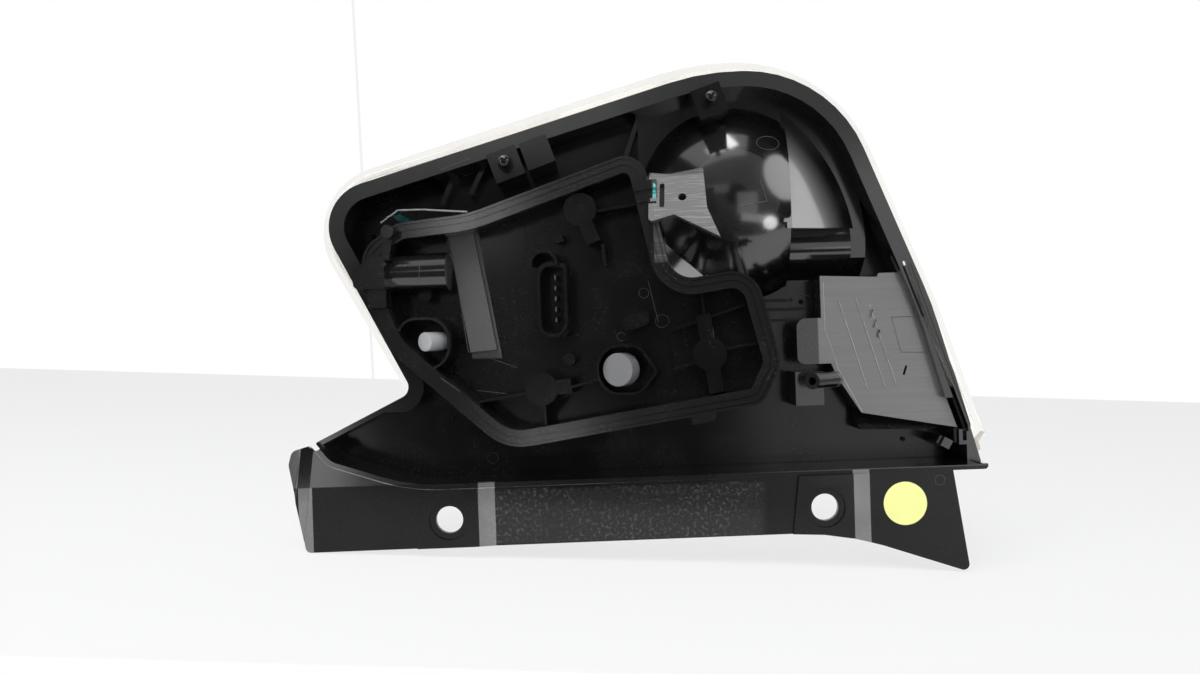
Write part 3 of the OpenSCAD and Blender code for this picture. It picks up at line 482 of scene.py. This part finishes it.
lines("carrier_marks", [
    (loop(16.5, 99.5, 3.4, 3.4), 0.12), (loop(7.5, 114.5, 2.6, 2.6), 0.1),
    (loop(-5, 92, 2.2, 2.2, 20, 300), 0.1),
    ([(-99.5, 73.7), (-89.6, 66.6), (-64.8, 63.2)], 0.16), ([(-83.5, 85.9), (-61, 77.3)], 0.14),
    ([(9.9, 120.8), (14.6, 99)], 0.16),
    # Painted highlight: this grey outline of the band stands for the bright lines along its edges.
    ([(-94.6, 148.5), (-86.6, 86.4), (-71.3, 87.4), (-79.2, 149.2)], 0.18),
    (loop(-118, 130, 9, 12, -70, 70), 0.14)], GREY_LINE)

# %% [markdown]
# ## Paint marks and the broken corner
#
# An inspector has dabbed teal paint on three latches, and a chip of pale plastic clings to the flange. The
# lens has lost its lower right corner: a fresh break in clear plastic is rough, so it looks cream. Each of
# these is a thin patch laid on the surface below it, with an uneven outline.

# %% Patches laid on a surface
RINGS = ((1.0, 0.02, 0.0), (0.8, 0.0, 1.0), (0.4, 0.0, 1.1))


def patch(piece_name, outline, lift, material, slot):
    """A thin patch with the given corners in plan, following the solid under it."""
    mesh = bmesh.new()
    edge = spaced(outline + outline[:1], 0.7)[:-1]
    middle = (sum(x for x, _ in edge) / len(edge), sum(z for _, z in edge) / len(edge))
    rings = []
    for share, foot_height, lifted in RINGS:
        height = foot_height + lift * lifted
        points = [(middle[0] + (x - middle[0]) * share, middle[1] + (z - middle[1]) * share)
                  for x, z in edge]
        hits = [touch(x, z)[0] for x, z in points]
        deepest = max(hit.y for hit in hits if hit is not None)
        levels = [deepest if hit is None else hit.y for hit in hits]
        rings.append([mesh.verts.new((x * MM, level - height * MM, z * MM))
                      for (x, z), level in zip(points, levels)])
    for outer, inner in zip(rings, rings[1:]):
        for k in range(len(outer)):
            mesh.faces.new((outer[k], outer[k - 1], inner[k - 1], inner[k]))
    mesh.faces.new(rings[-1])
    bmesh.ops.recalc_face_normals(mesh, faces=mesh.faces)
    laid_piece(piece_name, mesh, material, False)


# %% The marks, the chip and the break
TEAL = plain("teal_paint", (0.12, 0.62, 0.6), 0.35, 0.3, 700.0, 0.0003)
CREAM = plain("rough_break", (0.8, 0.76, 0.66), 0.6, 0.25, 500.0, 0.0006)
PAINT = 0.15
patch("teal_mark_top", [(-124, 157), (-120.5, 160.8), (-118, 160), (-121, 156)], PAINT, TEAL,
      "black_carrier")
patch("teal_mark_latch", [(12.6, 161.5), (13.2, 169), (14.6, 168.5), (14.2, 161.3)], PAINT, TEAL,
      "black_carrier")
patch("teal_mark_low", [(36.5, 43.8), (39.5, 46.6), (42, 46), (39.5, 43.4)], PAINT, TEAL,
      "black_carrier")
patch("chip", [(-69.4, 38.4), (-67.6, 38.8), (-67.8, 34.9), (-69.2, 34.4)], 0.4, CREAM, "black_carrier")
patch("broken_edge", [(199.3, 31.6), (195.2, 26.4), (196.6, 22.1), (191.6, 17.4), (189.8, 18.6),
                      (193.6, 22.6), (192.2, 27.4), (196.6, 32)], 0.12, CREAM, "clear_lens")

# %% [markdown]
# ## Floor, wall and light
#
# The lamp stands on a white table in front of a white wall. In the picture both are almost pure white,
# and only a thin line shows where they meet. The lamp leans a little, on the two lower corners of its
# strip, so the floor is tilted under it rather than the lamp over the floor.

# %% A white that the camera sees at full strength
def backdrop_white(name, colour, glowing=0.9):
    f = Finish(name, **{"Roughness": 0.85, "Specular IOR Level": 0.1})
    rays = f.node("ShaderNodeLightPath").socket.node.outputs
    camera_ray, glossy_ray, through_ray = [
        Signal(f, rays[n]) for n in ("Is Camera Ray", "Is Glossy Ray", "Is Transmission Ray")]
    glow = f.node("ShaderNodeEmission", {}, {"Color": (*colour, 1.0), "Strength": 1.0})
    seen = (camera_ray + glossy_ray + through_ray) * glowing
    blend = f.node("ShaderNodeMixShader", {}, {0: seen}).socket.node
    f.tree.links.new(f.shader.outputs[0], blend.inputs[1])
    f.tree.links.new(glow.socket, blend.inputs[2])
    f.tree.links.new(blend.outputs[0], f.tree.nodes["Material Output"].inputs["Surface"])
    f.surface(colour=(0.9, 0.9, 0.9))
    return f.material


TABLE = backdrop_white("table_white", (1.0, 1.0, 1.0), 0.75)
WALL = backdrop_white("wall_white", (1.0, 1.0, 1.0), 1.0)
SEAM = backdrop_white("seam_grey", (0.78, 0.75, 0.715))
FAINT = backdrop_white("faint_grey", (0.93, 0.93, 0.925))

# %% [markdown]
# The sheets are single faces. The table ends just below the edge of the picture: further forward it would
# only be mirrored in the glossy strip. The marks on the wall are placed by where the picture shows them.

# %% Floor and wall
LEAN = math.atan2(-36.5 + 15.0, 345.0)
foot = Vector((172.5 * MM, 0, -36.6 * MM))
TABLE_FRONT, WALL_Y, MARKS_Y = -0.215, 2.37, 2.36
SIDE, TOP = 6, 5
CAMERA_AT = (-16.3 * MM, -650 * MM, 92.2 * MM)
PIXEL = 0.52 * MM


def sheet(name, corners, material):
    mesh = bpy.data.meshes.new(name)
    mesh.from_pydata(corners, [], [tuple(range(len(corners)))])
    piece = bpy.data.objects.new(name, mesh)
    bpy.context.scene.collection.objects.link(piece)
    piece.data.materials.append(material)
    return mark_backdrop(piece)


def floor_z(x):
    return foot.z + math.tan(LEAN) * (x - foot.x)


def on_wall(right_px, down_px):
    """The place on the wall that the picture shows so many pixels right of and below its middle."""
    scale = PIXEL * (MARKS_Y - CAMERA_AT[1]) / -CAMERA_AT[1]
    return (CAMERA_AT[0] + scale * (0.9994 * right_px - 0.0334 * down_px), MARKS_Y,
            CAMERA_AT[2] - scale * (0.0334 * right_px + 0.9994 * down_px))


sheet("table", [(-SIDE, TABLE_FRONT, floor_z(-SIDE)), (SIDE, TABLE_FRONT, floor_z(SIDE)),
                (SIDE, WALL_Y, floor_z(SIDE)), (-SIDE, WALL_Y, floor_z(-SIDE))], TABLE)
sheet("wall", [(-SIDE, WALL_Y, floor_z(-SIDE)), (SIDE, WALL_Y, floor_z(SIDE)),
               (SIDE, WALL_Y, TOP), (-SIDE, WALL_Y, TOP)], WALL)
sheet("wall_foot_left", [on_wall(*p) for p in ((-640, 47), (-200, 49), (-200, 53), (-640, 51))], SEAM)
sheet("wall_foot_right", [on_wall(*p) for p in ((340, 64), (640, 66), (640, 68), (340, 66))], FAINT)
sheet("wall_joint", [on_wall(*p) for p in ((-249, -345), (-246.5, -345), (-225, 52), (-227.5, 52))], FAINT)
print("floor leans by %.2f degrees" % math.degrees(LEAN))

# %% [markdown]
# Black gloss is drawn by what it reflects, so each bright place in the picture has a light that the
# surface mirrors towards the camera. The room itself is dim. A soft light above gives the rims and the
# leaning latch plate their shine, and cards to the right and left put pale sheens on the side panel, the
# slope beside the dome and the carrier. The cards are seen in gloss only, so they light no colour twice.

# %% Lamps and world
def softbox(name, at, aim, size, brightness, diffuse=True, gloss=True, round_shape=False):
    light = bpy.data.lights.new(name, "AREA")
    light.shape, light.size, light.size_y = "ELLIPSE" if round_shape else "RECTANGLE", size[0], size[1]
    light.energy = brightness * math.pi * size[0] * size[1]
    lamp = bpy.data.objects.new(name, light)
    lamp.location = at
    lamp.rotation_euler = (Vector(aim) - Vector(at)).to_track_quat("-Z", "Y").to_euler()
    lamp.visible_diffuse, lamp.visible_glossy = diffuse, gloss
    bpy.context.scene.collection.objects.link(lamp)


softbox("fill_high", (-0.4, -1.0, 1.3), (0, 0.03, 0.1), (1.2, 1.2), 4.4, gloss=False)
softbox("fill_front", (0.5, -1.7, 0.4), (0, 0, 0.1), (1.2, 1.0), 2.6, gloss=False)

# name, place, what it is aimed at, width and height, brightness, round or not
CARDS = [
    ("ceiling_card", (-0.3, 0.0, 1.65), (0, 0.03, 0.15), (3.0, 1.8), 0.8, False),
    ("edge_card", (-0.2, -0.1, 1.45), (0, 0.03, 0.15), (1.6, 0.25), 8.0, False),
    ("latch_card", (-0.15, -0.63, 1.18), (0.03, 0, 0.15), (0.4, 0.3), 1.4, True),
    ("rim_card", (-0.3, -1.6, 0.55), (-0.05, 0, 0.2), (0.7, 0.25), 0.4, False),
    ("left_card", (-1.5, -0.5, 0.45), (-0.05, 0, 0.12), (0.3, 0.8), 6.0, False),
    ("panel_card", (0.46, -1.2, 0.1), (0.14, 0, 0.08), (0.5, 0.5), 0.7, False),
    ("ramp_card", (0.74, -1.2, -0.28), (0.05, 0, 0), (0.9, 0.2), 1.5, False),
    ("slope_card", (1.1, -0.55, 0.62), (0.1, 0.03, 0.17), (0.95, 0.95), 2.0, True),
    ("dome_card", (0.36, -0.27, 0.0), (0.076, 0.01, 0.148), (0.13, 0.1), 5, True),
    ("flange_card", (-0.56, -1.2, 0.3), (-0.07, 0, 0.15), (0.12, 0.16), 2.2, True),
    ("flange_card_low", (-0.44, -1.2, -0.08), (-0.04, 0, 0.04), (0.1, 0.14), 1.6, True),
]
for name, at, aim, size, brightness, is_round in CARDS:
    softbox(name, at, aim, size, brightness, diffuse=False, round_shape=is_round)

# %% [markdown]
# The world is a plain grey room. Gloss sees it much darker, so that black stays black, and the camera and
# the clear plastic see it white, like the wall.

# %% World
ROOM, ROOM_IN_GLOSS, WHITE = (0.28, 0.29, 0.3, 1), (0.045, 0.046, 0.05, 1), (1, 1, 1, 1)
world = bpy.data.worlds.new("room")
bpy.context.scene.world = world
world.use_nodes = True
room = world.node_tree
background = room.nodes["Background"]
sight, tone = room.nodes.new("ShaderNodeLightPath"), room.nodes.new("ShaderNodeMix")
tone.data_type = "RGBA"
room.links.new(sight.outputs["Is Glossy Ray"], tone.inputs[0])
tone.inputs[6].default_value, tone.inputs[7].default_value = ROOM, ROOM_IN_GLOSS
clear, through = room.nodes.new("ShaderNodeMath"), room.nodes.new("ShaderNodeMix")
clear.operation, through.data_type = "MAXIMUM", "RGBA"
room.links.new(sight.outputs["Is Camera Ray"], clear.inputs[0])
room.links.new(sight.outputs["Is Transmission Ray"], clear.inputs[1])
room.links.new(clear.outputs[0], through.inputs[0])
room.links.new(tone.outputs[2], through.inputs[6])
through.inputs[7].default_value = WHITE
room.links.new(through.outputs[2], background.inputs["Color"])
background.inputs["Strength"].default_value = 1.0
bpy.context.scene.view_settings.view_transform = "Standard"
print("room colour:", ROOM[:3])

# %% [markdown]
# ## Camera
#
# The camera stands 650 mm in front of the strip, a little left of its middle and about level with the
# carrier, and is rolled by just under two degrees.

# %% Camera
ROLL = math.radians(1.91)
FOCAL_PIXELS, PICTURE_WIDTH, SENSOR_WIDTH = 1250, 1200, 36.0
lens = bpy.data.cameras.new("camera")
lens.lens = SENSOR_WIDTH * FOCAL_PIXELS / PICTURE_WIDTH
lens.clip_end = 20
camera = bpy.data.objects.new("camera", lens)
right = Vector((math.cos(ROLL), 0, -math.sin(ROLL)))
up = Vector((math.sin(ROLL), 0, math.cos(ROLL)))
turn = Matrix((right, up, right.cross(up))).transposed().to_4x4()
camera.matrix_world = Matrix.Translation(CAMERA_AT) @ turn
bpy.context.scene.collection.objects.link(camera)
bpy.context.scene.camera = camera
print("lens: %.1f mm" % lens.lens)

# %% [markdown]
# ## Closing
#
